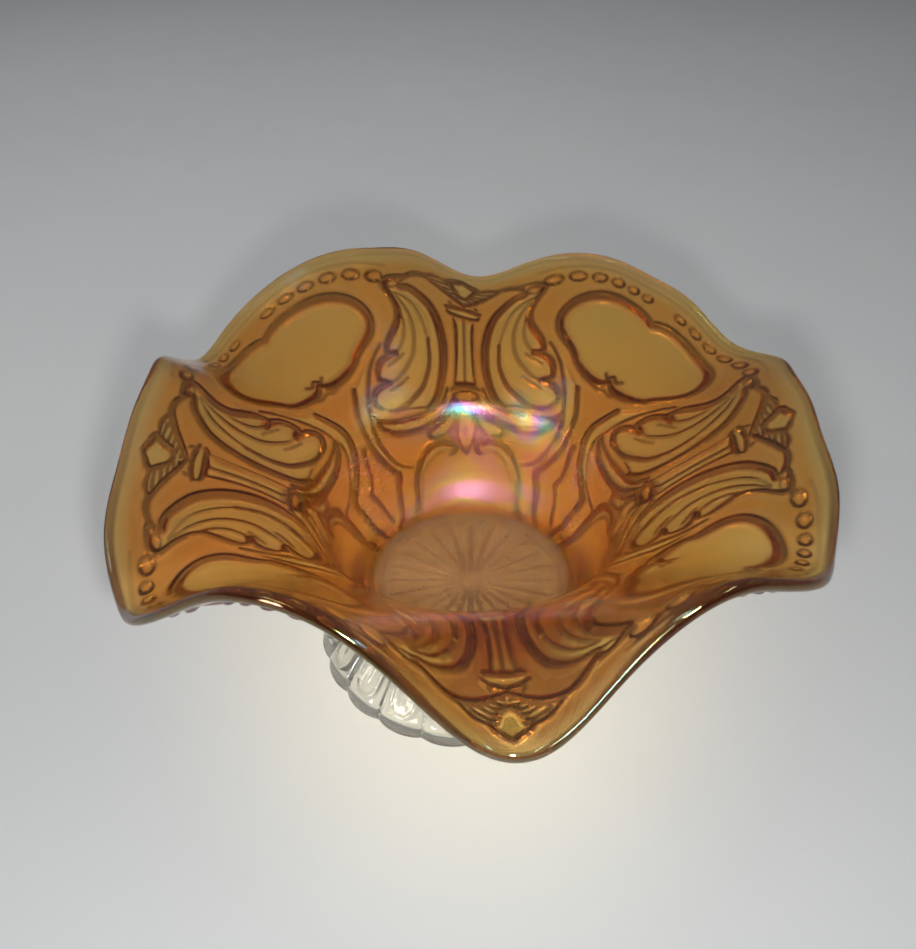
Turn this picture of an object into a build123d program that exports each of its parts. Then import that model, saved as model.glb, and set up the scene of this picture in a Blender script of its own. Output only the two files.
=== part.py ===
from build123d import *
import math
import os

# ---------------------------------------------------------------------------
# Pressed glass bowl on a hollow dome foot, rim crimped into six ruffles.
# Millimetres, +Z up, base plane at Z = 0.  The axis of the foot and of the cup
# stands at (AXIS_X, AXIS_Y), so that the middle of the ruffled outline is on
# the origin.
# ---------------------------------------------------------------------------

# driving dimensions -------------------------------------------------------
AXIS_X = 0.6            # axis of foot and cup, from the middle of the outline
AXIS_Y = -4.2

FLOOR_TOP = 24.2        # inner face of the floor
FLOOR_UNDER = 19.8      # underside of the floor, joint plane with the foot
FLOOR_R = 28.0          # flat middle of the inner floor
CUP_THICK = 4.5         # glass thickness in the cup
SKIRT_THICK = 4.2       # glass thickness in the flared skirt
RIM_THICK = 3.8         # glass thickness at the fire-polished lip
HEEL_R = 38.0           # radius of the body where it sits on the foot

FOOT_TOP_R_IN = 29.5    # hollow of the foot at the joint plane
FOOT_TIP_R = 51.3       # petal tips of the foot
FOOT_CUSP_R = 49.7      # notches between petals
FOOT_RING_IN = 45.6     # inner edge of the flat resting ring
PETALS = 20             # petals round the foot, a notch between two of them at azimuth 0

STAR_RAYS = 24          # rays pressed into the underside of the floor
STAR_R_IN = 4.0
STAR_R_OUT = 26.5
STAR_DEPTH = 0.7

# cup: middle of the wall thickness, (radius, height), from floor to knuckle
CUP_MID = [(28.0, 22.0), (35.6, 24.4), (41.6, 31.0), (45.4, 40.0), (48.6, 50.0), (53.2, 59.3)]
KNUCKLE_SLOPE = 45.0    # wall slope at the knuckle, where the skirt starts

# lip: radius and height of the middle of the lip every 10 degrees, anti-
# clockwise from +X.  Six crimps, pulled by hand, so no two are quite alike.
LIP_R = [98.6, 100.6, 106.0, 103.3, 100.4, 100.3, 103.3, 101.3, 103.5, 109.2, 111.5, 101.0,
         98.6, 106.7, 113.0, 109.5, 106.3, 100.1, 99.6, 102.7, 107.6, 108.9, 108.6, 102.4,
         100.5, 99.5, 101.1, 102.1, 104.2, 102.8, 104.8, 106.7, 109.6, 106.9, 103.7, 99.2]
LIP_Z = [94.7, 92.6, 86.5, 82.3, 91.2, 94.9, 96.0, 95.3, 86.8, 78.8, 88.6, 98.1,
         100.9, 92.9, 79.2, 74.5, 87.1, 93.6, 90.9, 82.9, 73.5, 65.8, 75.2, 91.2,
         102.1, 102.1, 90.7, 68.8, 67.7, 88.9, 105.0, 100.1, 89.8, 83.8, 89.5, 93.4]
N = len(LIP_R)

os.makedirs("parts", exist_ok=True)


# ---------------------------------------------------------------------------
# wall profile: Catmull-Rom through the cup, then one Hermite span to the lip
# ---------------------------------------------------------------------------
def hermite(p0, t0, p1, t1, u):
    h00 = 2 * u ** 3 - 3 * u ** 2 + 1
    h10 = u ** 3 - 2 * u ** 2 + u
    h01 = -2 * u ** 3 + 3 * u ** 2
    h11 = u ** 3 - u ** 2
    d00 = 6 * u ** 2 - 6 * u
    d10 = 3 * u ** 2 - 4 * u + 1
    d01 = -6 * u ** 2 + 6 * u
    d11 = 3 * u ** 2 - 2 * u
    p = [h00 * a + h10 * b + h01 * c + h11 * d for a, b, c, d in zip(p0, t0, p1, t1)]
    t = [d00 * a + d10 * b + d01 * c + d11 * d for a, b, c, d in zip(p0, t0, p1, t1)]
    return p, t


def cup_point(span, u):
    """point and tangent of the cup's mid wall on span 0..4"""
    n = len(CUP_MID)
    ks = math.radians(KNUCKLE_SLOPE)

    def tangent(i):
        if i == 0:
            return (7.0, 0.0)
        if i == n - 1:
            return (10.5 * math.cos(ks), 10.5 * math.sin(ks))
        return tuple((CUP_MID[i + 1][k] - CUP_MID[i - 1][k]) / 2 for k in (0, 1))

    return hermite(CUP_MID[span], tangent(span), CUP_MID[span + 1], tangent(span + 1), u)


def skirt_point(i, u):
    """point and tangent of the skirt's mid wall at lip station i"""
    k = CUP_MID[-1]
    e = (LIP_R[i], LIP_Z[i])
    chord = math.hypot(e[0] - k[0], e[1] - k[1])
    slope = math.atan2(e[1] - k[1], e[0] - k[0])
    ks = math.radians(KNUCKLE_SLOPE)
    es = slope - 0.6 * (ks - slope)
    t0 = (chord * math.cos(ks), chord * math.sin(ks))
    t1 = (chord * math.cos(es), chord * math.sin(es))
    return hermite(k, t0, e, t1, u)


def thick(w):
    """glass thickness, w = 0 at the floor, 1 at the knuckle, 2 at the lip"""
    if w <= 1:
        return CUP_THICK + (SKIRT_THICK - CUP_THICK) * w
    return SKIRT_THICK + (RIM_THICK - SKIRT_THICK) * (w - 1)


def offset_point(p, t, dist):
    """move across the wall: + is inwards and up, - is outwards and down"""
    n = math.hypot(t[0], t[1])
    return (p[0] - t[1] / n * dist, p[1] + t[0] / n * dist)


def ring(points):
    """closed smooth ring through (radius, height) at the N lip stations"""
    pts = []
    for i, (r, z) in enumerate(points):
        a = 2 * math.pi * i / N
        pts.append(Vector(r * math.cos(a), r * math.sin(a), z))
    return Wire([Edge.make_spline(pts, periodic=True)])


rings = []
# inner face, floor to knuckle
for span, u in [(0, 0.0), (0, 0.5), (1, 0.0), (1, 0.5), (2, 0.0), (3, 0.0), (4, 0.0), (4, 0.5)]:
    p, t = cup_point(span, u)
    q = offset_point(p, t, thick((span + u) / 5) / 2)
    rings.append(ring([q] * N))
# inner face, knuckle to lip
for u in (0.0, 0.15, 0.3, 0.5, 0.7, 0.85, 0.94):
    rings.append(ring([offset_point(*skirt_point(i, u), thick(1 + u) / 2) for i in range(N)]))
# rounded lip
for deg in (90, 45, 0, -45, -90):
    pts = []
    for i in range(N):
        p, t = skirt_point(i, 1.0)
        n = math.hypot(t[0], t[1])
        tx, tz = t[0] / n, t[1] / n
        rr = RIM_THICK / 2
        back = (p[0] - tx * rr, p[1] - tz * rr)
        c, s = math.cos(math.radians(deg)), math.sin(math.radians(deg))
        pts.append((back[0] + rr * (c * tx - s * tz), back[1] + rr * (c * tz + s * tx)))
    rings.append(ring(pts))
# outer face, lip to knuckle
for u in (0.94, 0.85, 0.7, 0.5, 0.3, 0.15, 0.0):
    rings.append(ring([offset_point(*skirt_point(i, u), -thick(1 + u) / 2) for i in range(N)]))
# outer face of the cup down to the heel
for span, u in [(4, 0.5), (4, 0.0), (3, 0.0), (2, 0.3)]:
    p, t = cup_point(span, u)
    rings.append(ring([offset_point(p, t, -thick((span + u) / 5) / 2)] * N))
rings.append(ring([(41.2, 25.8)] * N))
rings.append(ring([(39.0, 21.8)] * N))
rings.append(ring([(HEEL_R, FLOOR_UNDER)] * N))

bowl = Solid.make_loft(rings)

# rayed star pressed into the underside of the floor
side = STAR_DEPTH * math.sqrt(2)
ray = Box(STAR_R_OUT - STAR_R_IN, side, side)
ray = Rot(45, 0, 0) * ray
rays = []
for k in range(STAR_RAYS):
    rays.append(Rot(0, 0, 360 * k / STAR_RAYS) * Pos((STAR_R_OUT + STAR_R_IN) / 2, 0, FLOOR_UNDER) * ray)
bowl = bowl.cut(*[s for r in rays for s in r.solids()])
bowl = Pos(AXIS_X, AXIS_Y, 0) * bowl

# ---------------------------------------------------------------------------
# foot: turned hollow dome, trimmed by a petalled outline, with a groove
# between each two petals
# ---------------------------------------------------------------------------
with BuildPart() as foot_build:
    with BuildSketch(Plane.XZ) as prof:
        with BuildLine():
            l1 = Line((FOOT_TOP_R_IN, FLOOR_UNDER), (HEEL_R, FLOOR_UNDER))
            l2 = Spline([(HEEL_R, FLOOR_UNDER), (41.6, 15.4), (46.6, 8.6), (52.0, 2.6)],
                        tangents=[(0.35, -1.0), (0.80, -0.60)])
            l3 = Line((52.0, 2.6), (52.0, 0.0))
            l4 = Line((52.0, 0.0), (FOOT_RING_IN, 0.0))
            l5 = Spline([(FOOT_RING_IN, 0.0), (41.0, 5.4), (35.4, 11.8), (FOOT_TOP_R_IN, FLOOR_UNDER)],
                        tangents=[(-0.50, 0.90), (-0.45, 0.9)])
        make_face()
    revolve(axis=Axis.Z)
foot = foot_build.part.solids()[0]

step = 360 / PETALS
edges = []
for k in range(PETALS):
    a0, a1, a2 = (math.radians(step * (k + j)) for j in (0.0, 0.5, 1.0))
    edges.append(Edge.make_three_point_arc(
        Vector(FOOT_CUSP_R * math.cos(a0), FOOT_CUSP_R * math.sin(a0), -1),
        Vector(FOOT_TIP_R * math.cos(a1), FOOT_TIP_R * math.sin(a1), -1),
        Vector(FOOT_CUSP_R * math.cos(a2), FOOT_CUSP_R * math.sin(a2), -1)))
petal_prism = Solid.extrude(Face(Wire(edges)), Vector(0, 0, 24))
foot = foot.intersect(petal_prism).solids()[0]

# grooves between the petals, lying along the slope of the dome
g0, g1 = (43.2, 15.6), (53.0, 3.9)
glen = math.hypot(g1[0] - g0[0], g1[1] - g0[1])
gang = math.degrees(math.atan2(g0[1] - g1[1], g1[0] - g0[0]))
groove = Rot(0, 90, 0) * Cylinder(1.4, glen)
tools = []
for k in range(PETALS):
    g = Rot(0, 0, step * k) * Pos((g0[0] + g1[0]) / 2, 0, (g0[1] + g1[1]) / 2) * Rot(0, gang, 0) * groove
    tools += g.solids()
foot = foot.cut(*tools)
foot = Pos(AXIS_X, AXIS_Y, 0) * foot


def one_solid(shape, name):
    solids = shape.solids()
    assert len(solids) == 1, (name, len(solids))
    return solids[0]


bowl = one_solid(bowl, "bowl")
foot = one_solid(foot, "foot")
export_step(bowl, "parts/bowl.step")
export_step(foot, "parts/foot.step")

print("bowl", bowl.is_valid, round(bowl.volume), bowl.bounding_box())
print("foot", foot.is_valid, round(foot.volume), foot.bounding_box())
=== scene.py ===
import math

import bpy
import numpy as np
from mathutils import Matrix, Vector


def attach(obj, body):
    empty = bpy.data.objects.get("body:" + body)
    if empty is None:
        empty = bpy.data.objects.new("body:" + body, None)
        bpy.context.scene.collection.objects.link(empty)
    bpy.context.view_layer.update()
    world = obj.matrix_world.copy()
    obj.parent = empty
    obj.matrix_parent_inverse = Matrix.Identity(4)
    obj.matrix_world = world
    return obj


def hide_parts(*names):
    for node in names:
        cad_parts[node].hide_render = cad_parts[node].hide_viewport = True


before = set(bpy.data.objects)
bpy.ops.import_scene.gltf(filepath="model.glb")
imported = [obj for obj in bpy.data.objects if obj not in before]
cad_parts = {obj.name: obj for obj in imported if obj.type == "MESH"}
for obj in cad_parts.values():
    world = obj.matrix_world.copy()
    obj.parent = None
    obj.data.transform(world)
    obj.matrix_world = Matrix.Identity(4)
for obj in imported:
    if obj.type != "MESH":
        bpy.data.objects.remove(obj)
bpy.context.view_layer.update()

MM = 0.001
AXIS_X, AXIS_Y = 0.6, -4.2          # axis of cup and foot
TAU = 2 * math.pi

# --- the wall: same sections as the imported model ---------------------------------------
CUP_MID = np.array([(28.0, 22.0), (35.6, 24.4), (41.6, 31.0), (45.4, 40.0), (48.6, 50.0), (53.2, 59.3)])
LIP_R = np.array([98.6, 100.6, 106.0, 103.3, 100.4, 100.3, 103.3, 101.3, 103.5, 109.2, 111.5, 101.0,
                  98.6, 106.7, 113.0, 109.5, 106.3, 100.1, 99.6, 102.7, 107.6, 108.9, 108.6, 102.4,
                  100.5, 99.5, 101.1, 102.1, 104.2, 102.8, 104.8, 106.7, 109.6, 106.9, 103.7, 99.2])
LIP_Z = np.array([94.7, 92.6, 86.5, 82.3, 91.2, 94.9, 96.0, 95.3, 86.8, 78.8, 88.6, 98.1,
                  100.9, 92.9, 79.2, 74.5, 87.1, 93.6, 90.9, 82.9, 73.5, 65.8, 75.2, 91.2,
                  102.1, 102.1, 90.7, 68.8, 67.7, 88.9, 105.0, 100.1, 89.8, 83.8, 89.5, 93.4])
KNUCKLE = math.radians(45)
FLOOR_TOP, FLOOR_UNDER, HEEL_R, LIP_RADIUS = 24.2, 19.8, 38.0, 1.9


def periodic_spline(y):
    """cubic spline through equally spaced values round a circle"""
    n, h = len(y), TAU / len(y)
    A = 4 * np.eye(n) + np.roll(np.eye(n), 1, 0) + np.roll(np.eye(n), -1, 0)
    M = np.linalg.solve(A, 6 * (np.roll(y, -1) - 2 * y + np.roll(y, 1)) / h ** 2)

    def f(th):
        t = np.mod(th, TAU) / h
        i = np.floor(t).astype(int) % n
        a = t - np.floor(t)
        j = (i + 1) % n
        return y[i] * (1 - a) + y[j] * a + h * h / 6 * (((1 - a) ** 3 - (1 - a)) * M[i] + (a ** 3 - a) * M[j])

    return f


lip_r, lip_z = periodic_spline(LIP_R), periodic_spline(LIP_Z)


def hermite(p0, t0, p1, t1, u):
    h00, h10 = 2 * u ** 3 - 3 * u ** 2 + 1, u ** 3 - 2 * u ** 2 + u
    h01, h11 = -2 * u ** 3 + 3 * u ** 2, u ** 3 - u ** 2
    d00, d10, d11 = 6 * u ** 2 - 6 * u, 3 * u ** 2 - 4 * u + 1, 3 * u ** 2 - 2 * u
    return (h00 * p0 + h10 * t0 + h01 * p1 + h11 * t1, d00 * p0 + d10 * t0 - d00 * p1 + d11 * t1)


def wall(th, v):
    """(radius, height) of the middle of the wall and its tangent; v 0..1 cup, 1..2 skirt"""
    th, v = np.broadcast_arrays(np.asarray(th, float), np.asarray(v, float))
    w = np.clip(v, 0, 1) * 5
    i = np.minimum(np.floor(w).astype(int), 4)
    T = np.zeros_like(CUP_MID)
    T[0] = (7, 0)
    T[-1] = (10.5 * math.cos(KNUCKLE), 10.5 * math.sin(KNUCKLE))
    T[1:-1] = (CUP_MID[2:] - CUP_MID[:-2]) / 2
    cp, ct = hermite(CUP_MID[i], T[i], CUP_MID[i + 1], T[i + 1], (w - i)[..., None])
    K = CUP_MID[-1]
    E = np.stack([lip_r(th), lip_z(th)], -1)
    d = E - K
    ch = np.hypot(d[..., 0], d[..., 1])[..., None]
    sl = np.arctan2(d[..., 1], d[..., 0])
    es = sl - 0.6 * (KNUCKLE - sl)
    t0 = ch * np.array([math.cos(KNUCKLE), math.sin(KNUCKLE)])
    t1 = ch * np.stack([np.cos(es), np.sin(es)], -1)
    sp, st = hermite(K, t0, E, t1, np.clip(v - 1, 0, 1)[..., None])
    m = (v <= 1)[..., None]
    return np.where(m, cp, sp), np.where(m, ct, st)


def thickness(v):
    return np.where(v <= 1, 4.5 - 0.3 * v, 4.2 - 0.4 * (v - 1))


def shift(p, t, d):
    """across the wall: + inwards and up, - outwards and down"""
    n = np.hypot(t[..., 0], t[..., 1])[..., None]
    return p + np.stack([-t[..., 1], t[..., 0]], -1) / n * np.asarray(d)[..., None]


# --- the pressed pattern --------------------------------------------------------------
# One eighth of the pattern (half a motif) is drawn in (u, v): u degrees from the column's
# middle (0) to the heart's middle (46.5), v up the wall (0 floor edge, 1 knuckle, 2 lip).
# It is mirrored about both, four times round.  Widths are in millimetres.
HALF = 46.5
V_TO_MM = 50.0


def smooth_line(pts, step=6):
    """Catmull-Rom through the points"""
    p = np.array(pts, float)
    if len(p) < 3:
        return p
    q = np.vstack([2 * p[0] - p[1], p, 2 * p[-1] - p[-2]])
    out = []
    for i in range(1, len(q) - 2):
        t = np.linspace(0, 1, step, endpoint=False)[:, None]
        a, b, c, d = q[i - 1], q[i], q[i + 1], q[i + 2]
        out.append(0.5 * (2 * b + (c - a) * t + (2 * a - 5 * b + 4 * c - d) * t ** 2
                          + (3 * b - a - 3 * c + d) * t ** 3))
    out.append(p[-1:])
    return np.vstack(out)


C_OUT = [(15.2, 1.735), (13.0, 1.72), (10.5, 1.66), (8.5, 1.59), (7.2, 1.50), (6.6, 1.42), (6.3, 1.33),
         (6.7, 1.23), (7.8, 1.14), (9.3, 1.07), (11.2, 1.015), (14.5, 0.97)]
P_IN = [(16.5, 1.70), (13.2, 1.62), (11.3, 1.50), (10.4, 1.38), (11.0, 1.25), (12.5, 1.17), (15.0, 1.10),
        (19.0, 1.05), (23.0, 1.015), (27.0, 1.005), (31.0, 1.02), (33.0, 1.06)]
HOOK = [(14.2, 1.800), (16.5, 1.802), (18.6, 1.792), (19.6, 1.765), (19.0, 1.725), (18.0, 1.67), (17.4, 1.60),
        (18.0, 1.53), (19.6, 1.48), (21.6, 1.43), (23.1, 1.385), (23.6, 1.352)]
LOBE1 = [(23.6, 1.352), (22.4, 1.338), (21.0, 1.332)]
LOBE2 = [(21.0, 1.335), (24.0, 1.322), (26.5, 1.297), (28.0, 1.26), (28.6, 1.225), (29.0, 1.198)]
LOBE2B = [(29.0, 1.198), (27.2, 1.183), (25.6, 1.170)]
LOBE3 = [(25.8, 1.166), (29.0, 1.160), (31.7, 1.138), (33.3, 1.10), (33.2, 1.06), (31.0, 1.02)]
CRES_UP = [(6.3, 1.07), (9.0, 0.99), (13.0, 0.948), (18.0, 0.928), (25.0, 0.922), (30.0, 0.936), (34.0, 0.965), (36.2, 1.00)]
CRES_LO = [(4.6, 1.005), (7.5, 0.93), (12.0, 0.865), (18.0, 0.832), (24.0, 0.826), (30.0, 0.85), (34.0, 0.90), (36.0, 0.96), (36.2, 1.00)]
LEAF_C = [(0.0, 0.965), (2.2, 0.955), (3.5, 0.89), (3.8, 0.82), (3.0, 0.73), (1.4, 0.655), (0.0, 0.62)]
LEAF_2 = [(3.8, 0.965), (6.3, 0.905), (9.4, 0.855), (12.8, 0.828), (15.6, 0.80), (15.8, 0.775), (14.0, 0.752), (11.6, 0.757)]
LEAF_2B = [(3.9, 0.87), (6.0, 0.80), (8.6, 0.765), (11.6, 0.757)]
LEAF_3 = [(3.2, 0.72), (5.2, 0.735), (7.6, 0.752)]
ARCH = [(6.6, 0.625), (4.9, 0.645), (4.6, 0.672), (5.8, 0.698), (8.5, 0.714), (12.0, 0.712), (15.5, 0.695), (18.6, 0.657),
        (21.0, 0.60), (22.9, 0.53), (24.8, 0.44), (26.8, 0.35), (28.6, 0.26), (30.2, 0.19), (31.2, 0.14)]
ARCH_IN = [(8.5, 0.648), (12.0, 0.645), (15.0, 0.618), (17.6, 0.575), (20.0, 0.51), (22.0, 0.44), (24.2, 0.36),
           (26.0, 0.27), (27.4, 0.20), (28.2, 0.145)]
STRAP_B = [(38.2, 1.19), (40.4, 1.105), (42.3, 1.03), (42.7, 0.95), (42.3, 0.87), (41.0, 0.78), (38.5, 0.70), (35.5, 0.63),
           (33.3, 0.585), (32.5, 0.555), (33.5, 0.50), (35.6, 0.42), (37.4, 0.33), (39.0, 0.25), (40.3, 0.185), (41.4, 0.14)]
STRAP_A = [(24.6, 1.402), (27.4, 1.345), (30.2, 1.275), (33.0, 1.185), (35.4, 1.10), (37.4, 1.01), (38.5, 0.93), (38.2, 0.85),
           (36.6, 0.77), (34.2, 0.69), (31.0, 0.63), (27.6, 0.597), (24.6, 0.582)]
ZIGZAG = [(45.3, 0.845), (46.4, 0.84), (46.7, 0.75), (46.6, 0.67), (47.5, 0.60), (49.4, 0.55), (49.8, 0.52), (48.0, 0.48),
          (46.0, 0.42), (44.2, 0.36), (43.2, 0.31)]
HEART = [(46.5, 1.735), (45.0, 1.757), (42.0, 1.777), (38.0, 1.784), (34.5, 1.776), (31.5, 1.755), (28.8, 1.72), (26.6, 1.67),
         (25.3, 1.61), (25.0, 1.555), (25.9, 1.49), (27.9, 1.44), (30.6, 1.395), (33.0, 1.35)]
HEART_LIP = [(33.0, 1.335), (36.5, 1.292), (40.0, 1.268), (43.0, 1.262), (45.0, 1.275), (46.5, 1.305)]
TRI_1 = [(43.6, 1.345), (45.0, 1.325), (46.5, 1.348)]
TRI_2 = [(41.6, 1.246), (44.2, 1.232), (46.5, 1.245)]
DIAMOND = [(0.0, 1.897), (1.7, 1.872), (3.3, 1.845), (2.4, 1.80), (1.5, 1.752), (0.0, 1.732)]
WING = [(0.0, 1.668), (2.4, 1.70), (4.8, 1.745), (7.2, 1.785), (9.4, 1.815), (11.6, 1.812), (13.6, 1.79), (14.8, 1.765)]
WING_UP = [(4.0, 1.836), (6.2, 1.842), (8.2, 1.824)]
RUNGS = [[(2.7, 1.816), (6.8, 1.806)], [(2.3, 1.784), (5.8, 1.772)], [(1.8, 1.754), (4.7, 1.744)],
         [(1.2, 1.727), (3.4, 1.720)], [(0.5, 1.700), (2.0, 1.696)]]
CAP_UP = [(0.0, 1.640), (2.4, 1.634), (4.4, 1.618)]
CAP_LO = [(0.0, 1.572), (3.2, 1.573), (4.1, 1.584)]
CAP_SIDE = [(3.0, 1.668), (3.5, 1.652)]
COLUMN = [(0.0, 1.555), (0.0, 1.10)]
COL_EDGE = [(3.0, 1.565), (2.7, 1.45), (2.9, 1.30), (3.4, 1.18), (4.0, 1.10)]
BEAD_BAR = [(0.0, 1.083), (3.4, 1.080), (4.9, 1.066)]
BEAD_LOW = [(0.0, 0.972), (3.6, 0.975), (5.0, 0.985)]
FLUTE_2 = [(17.0, 1.70), (15.2, 1.60), (14.2, 1.50), (14.4, 1.40), (16.0, 1.30), (19.4, 1.225), (22.8, 1.18), (25.6, 1.170)]
FLUTE_3 = [(17.2, 1.60), (16.6, 1.50), (17.4, 1.42), (19.2, 1.365), (21.0, 1.335)]
ACC_1 = [(18.5, 1.325), (21.0, 1.298), (24.0, 1.270)]
ACC_2 = [(19.0, 1.180), (22.2, 1.148), (26.0, 1.126)]
BASE_RING = [(-2.0, 0.115), (48.5, 0.115)]
TOP_EDGE = [(17.5, 1.885), (22.0, 1.905), (28.0, 1.922), (36.0, 1.932), (46.5, 1.925)]

# (points, width mm, depth mm, darkness: painted shade laid along the groove)
LINES = [
    (C_OUT, 1.9, 0.55, 1.00), (P_IN[3:], 1.1, 0.40, 0.85), (P_IN[:4], 0.8, 0.25, 0.35),
    (HOOK, 1.5, 0.50, 1.00), (LOBE1, 1.2, 0.40, 0.85), (LOBE2, 1.3, 0.45, 0.95), (LOBE2B, 1.1, 0.40, 0.8),
    (LOBE3, 1.3, 0.45, 0.90), (CRES_UP, 1.3, 0.45, 0.85), (CRES_LO, 1.4, 0.45, 0.85),
    (LEAF_C, 1.1, 0.35, 0.75), (LEAF_2, 1.1, 0.35, 0.8), (LEAF_2B, 0.9, 0.3, 0.65), (LEAF_3, 0.9, 0.3, 0.6),
    (ARCH, 1.7, 0.50, 0.95), (ARCH_IN, 0.9, 0.25, 0.40), (STRAP_B, 1.6, 0.50, 1.00), (STRAP_A, 1.0, 0.35, 0.70),
    (HEART, 1.7, 0.50, 1.00), (HEART_LIP, 1.4, 0.40, 0.9), (TRI_1, 0.9, 0.3, 0.7), (TRI_2, 0.8, 0.3, 0.6),
    (DIAMOND, 1.3, 0.45, 0.95), (WING, 1.3, 0.45, 0.90), (WING_UP, 1.0, 0.3, 0.8), (CAP_UP, 1.0, 0.35, 0.85),
    (CAP_LO, 1.0, 0.35, 0.85), (CAP_SIDE, 0.8, 0.3, 0.6), (COLUMN, 0.9, 0.25, 0.60), (COL_EDGE, 0.7, 0.2, 0.25),
    (BEAD_BAR, 0.9, 0.35, 0.8), (BEAD_LOW, 1.0, 0.35, 0.8), (FLUTE_2, 0.9, 0.3, 0.45), (FLUTE_3, 0.8, 0.3, 0.40),
    (ACC_1, 0.7, 0.2, 0.55), (ACC_2, 0.7, 0.2, 0.55), (BASE_RING, 1.4, 0.0, 0.55), (TOP_EDGE, 0.9, 0.1, 0.25),
] + [(r, 0.8, 0.3, 0.85) for r in RUNGS]
# round beads: (u, v, half width in degrees, half height in v, rise mm)
BEADS = [(0.0, 1.028, 4.5, 0.034, 1.2), (17.0, 1.765, 1.5, 0.024, 0.8), (20.9, 1.822, 1.9, 0.036, 1.1),
         (25.7, 1.850, 1.75, 0.033, 1.0), (30.3, 1.866, 1.6, 0.030, 0.9), (34.6, 1.872, 1.5, 0.027, 0.8),
         (38.6, 1.872, 1.35, 0.025, 0.7), (42.4, 1.866, 1.3, 0.023, 0.7)]
# raised closed shapes: (outline, rise mm, bevel mm)
SHAPES = [
    (C_OUT[::-1] + HOOK[2:] + LOBE1 + LOBE2 + LOBE2B + LOBE3 + [(27.0, 0.99), (20.0, 0.985)], 0.75, 1.6),
    (HEART + HEART_LIP, 0.95, 3.2),
    (CRES_UP + CRES_LO[::-1], 0.65, 1.4),
    (LEAF_C + [(0.0, 0.8)], 0.8, 1.6),
    (LEAF_2 + LEAF_2B[::-1], 0.6, 1.3),
    (STRAP_A[:12] + [(31.5, 0.575)] + STRAP_B[:9][::-1], 0.45, 1.2),
    (DIAMOND, 0.8, 1.6),
    ([(0.0, 1.668), (2.4, 1.70), (4.8, 1.745), (7.2, 1.785), (9.0, 1.812), (8.2, 1.826), (5.5, 1.842), (3.3, 1.845), (0.0, 1.86)], 0.4, 1.0),
    ([(0.0, 1.640), (2.4, 1.634), (4.4, 1.618), (4.1, 1.584), (3.2, 1.573), (0.0, 1.572)], 0.6, 1.0),
    ([(0.0, 1.56), (3.0, 1.565), (2.7, 1.45), (2.9, 1.30), (3.4, 1.18), (4.0, 1.10), (0.0, 1.10)], 0.7, 1.8),
    (ARCH[4:] + [(28.2, 0.14)] + ARCH_IN[::-1], 0.35, 0.9),
]


def seg_dist(px, py, line):
    """distance in mm from the points to a line in millimetres"""
    best = np.full(px.shape, 1e9)
    for (x0, y0), (x1, y1) in zip(line[:-1], line[1:]):
        dx, dy = x1 - x0, y1 - y0
        L = dx * dx + dy * dy + 1e-12
        t = np.clip(((px - x0) * dx + (py - y0) * dy) / L, 0, 1)
        d = np.hypot(px - x0 - t * dx, py - y0 - t * dy)
        best = np.minimum(best, d)
    return best


def inside(px, py, poly):
    odd = np.zeros(px.shape, bool)
    n = len(poly)
    for i in range(n):
        x0, y0 = poly[i]
        x1, y1 = poly[(i + 1) % n]
        if y0 == y1:
            continue
        c = ((y0 > py) != (y1 > py)) & (px < (x1 - x0) * (py - y0) / (y1 - y0) + x0)
        odd ^= c
    return odd


def deg_mm(v):
    """millimetres along the wall for one degree, at height v"""
    return np.interp(v, [0, 0.5, 1.0, 1.3, 1.6, 2.0], [0.55, 0.78, 0.93, 1.15, 1.45, 1.82])


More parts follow.
